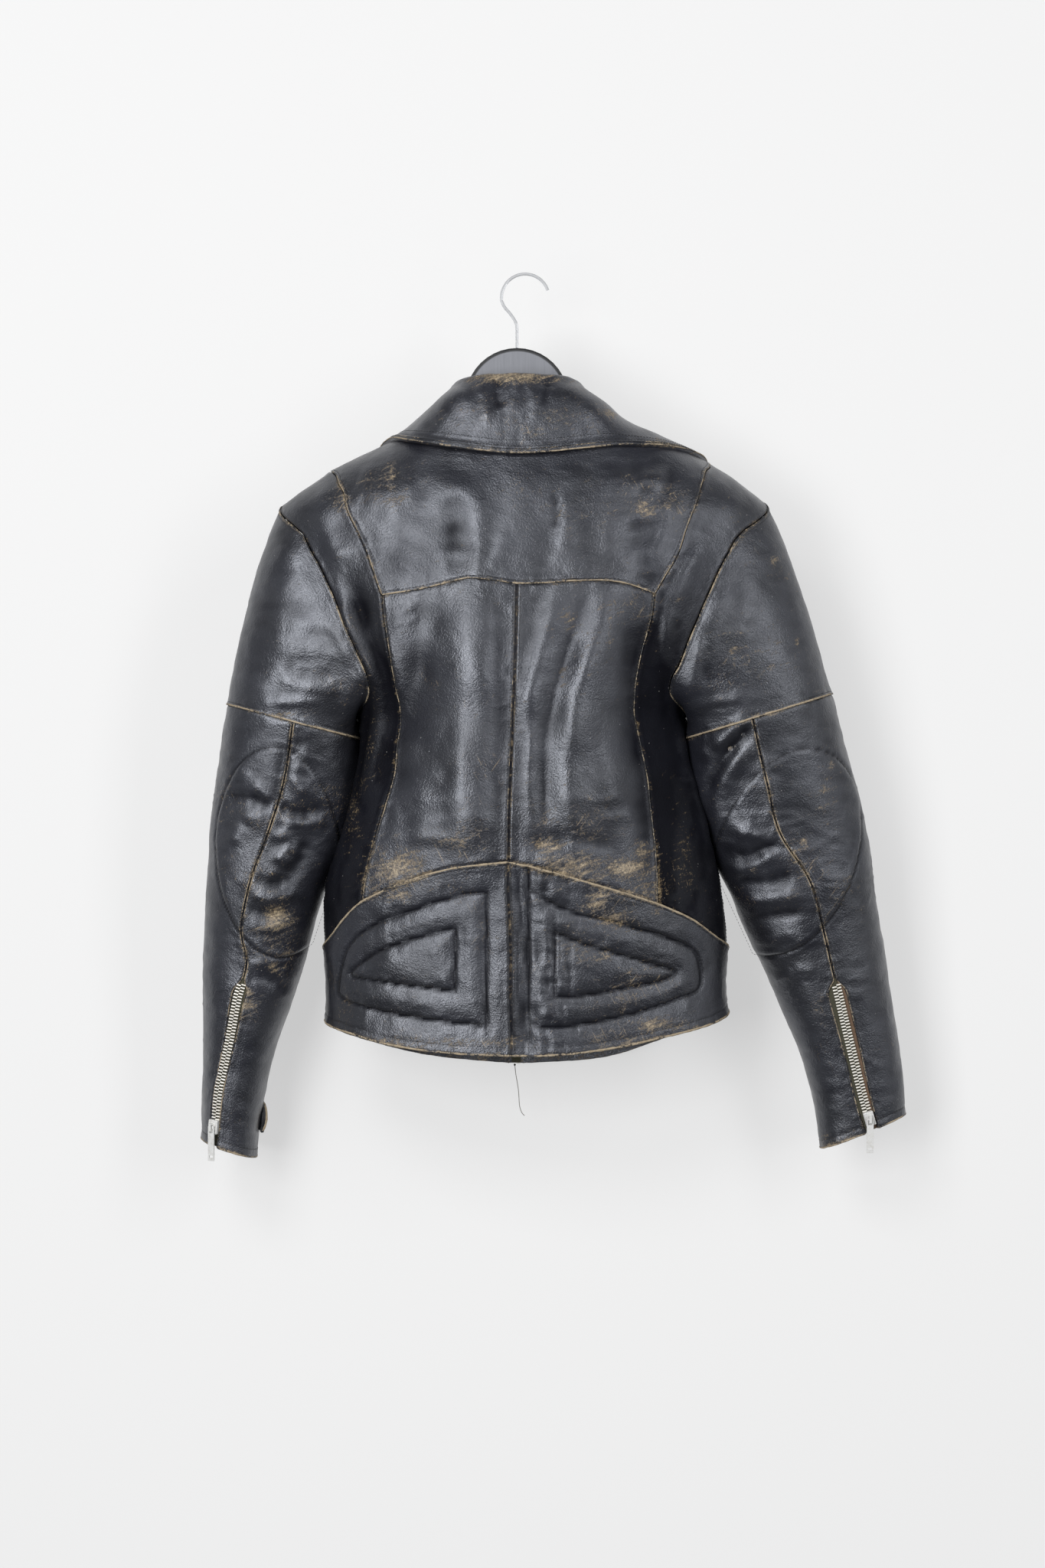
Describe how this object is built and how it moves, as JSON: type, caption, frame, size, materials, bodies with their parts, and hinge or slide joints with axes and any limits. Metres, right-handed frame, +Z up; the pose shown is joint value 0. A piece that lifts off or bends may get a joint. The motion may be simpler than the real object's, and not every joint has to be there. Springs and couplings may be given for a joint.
{
  "type": "leather biker jacket on a wooden hanger",
  "caption": "Worn black leather biker jacket hanging on a dark painted wooden hanger with a wire hook, with zipped cuffs, a turned-down collar and quilted lower back.",
  "frame": {"origin": "underside of the hook's bend, where the hanger rests on a nail or rail", "axes": "+Z up; the jacket's back faces +Y and its front -Y; +X is the wearer's left"},
  "size_m": [0.697, 0.2014, 0.8701],
  "materials": {
    "leather": "worn satin, rubbed pale along seams and edges",
    "zip_tape": "matte woven tape",
    "zip_metal": "dulled nickel",
    "hanger_wood": "dark painted, satin, darker rim",
    "hook_metal": "polished",
    "thread": "frayed sewing thread"
  },
  "bodies": {
    "jacket": {"yoke": "leather", "back_left": "leather", "back_right": "leather", "side_back_left": "leather", "side_back_right": "leather", "kidney_left": "leather", "kidney_right": "leather", "front_left": "leather", "front_right": "leather", "collar": "leather", "sleeve_upper_left": "leather", "sleeve_upper_right": "leather", "sleeve_outer_left": "leather", "sleeve_outer_right": "leather", "sleeve_inner_left": "leather", "sleeve_inner_right": "leather", "front_zip_tape": "zip_tape", "cuff_zip_tape_left": "zip_tape", "cuff_zip_tape_right": "zip_tape", "cuff_zip_left_slider": "zip_metal", "cuff_zip_right_slider": "zip_metal", "front_zip_slider": "zip_metal", "hanger_body": "hanger_wood", "hanger_hook": "hook_metal", "loose_thread": "thread"},
    "cuff_pull_left": {"cuff_zip_left_pull": "zip_metal"},
    "cuff_pull_right": {"cuff_zip_right_pull": "zip_metal"},
    "front_pull": {"front_zip_pull": "zip_metal"}
  },
  "joints": [
    {"name": "cuff_pull_left_swing", "type": "hinge", "parent": "jacket", "child": "cuff_pull_left", "pos_m": [0.30722, 0.00393, -0.83383], "axis": [0.901, -0.4338, 0], "range_deg": [0, 150]},
    {"name": "cuff_pull_right_swing", "type": "hinge", "parent": "jacket", "child": "cuff_pull_right", "pos_m": [-0.33778, 0.002, -0.82628], "axis": [0.9982, 0.0598, 0], "range_deg": [0, 150]},
    {"name": "front_pull_swing", "type": "hinge", "parent": "jacket", "child": "front_pull", "pos_m": [0.01086, -0.08631, -0.24219], "axis": [-1, -0.0056, 0], "range_deg": [0, 150]}
  ]
}
